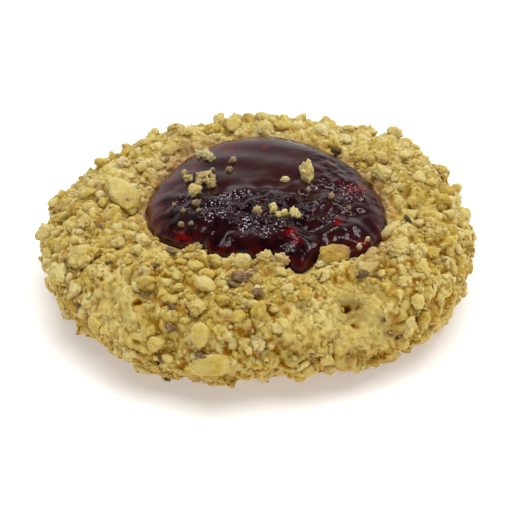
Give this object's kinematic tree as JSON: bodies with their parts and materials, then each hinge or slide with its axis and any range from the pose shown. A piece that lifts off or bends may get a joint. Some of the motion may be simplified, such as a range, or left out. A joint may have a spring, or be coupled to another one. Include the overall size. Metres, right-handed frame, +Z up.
{
  "type": "thumbprint cookie",
  "caption": "Round, thick thumbprint cookie rolled in chopped walnuts, with a mound of dark raspberry jam in its hollow.",
  "frame": {"origin": "middle of the flat underside that the cookie rests on", "axes": "+Z up through the jam, -Y towards the near side, +X to the right"},
  "size_m": [0.0646, 0.0598, 0.0219],
  "materials": {
    "cookie": "pale baked dough covered in chopped walnuts, rough and dry",
    "jam": "dark maroon set jam, wet and glossy, with seeds and pulp"
  },
  "bodies": {
    "root": {"cookie": "cookie", "jam": "jam"}
  },
  "joints": []
}
